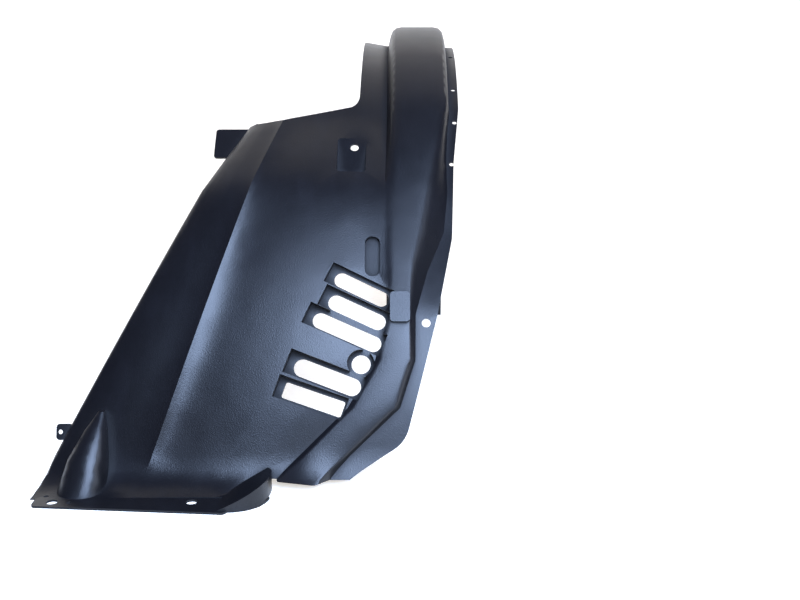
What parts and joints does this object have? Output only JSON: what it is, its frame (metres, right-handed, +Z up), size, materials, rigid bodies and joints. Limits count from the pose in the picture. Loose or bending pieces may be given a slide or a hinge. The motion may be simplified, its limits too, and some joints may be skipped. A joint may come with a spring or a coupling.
{
  "type": "wheel arch liner",
  "caption": "Thin moulded inner mudguard that arches over a front wheel, with a hat-section crown, a wide front panel with recessed vent slots, a stepped rim and a foot flange.",
  "frame": {"origin": "centre of the bounding box's bottom face, on the floor that the liner stands on", "axes": "+X outboard to the wing edge, -Y to the front of the car, +Z up"},
  "size_m": [0.464, 0.9004, 0.49],
  "materials": {
    "black_plastic": "satin grained black polypropylene"
  },
  "bodies": {
    "root": {"wheel_arch_liner": "black_plastic"}
  },
  "joints": []
}
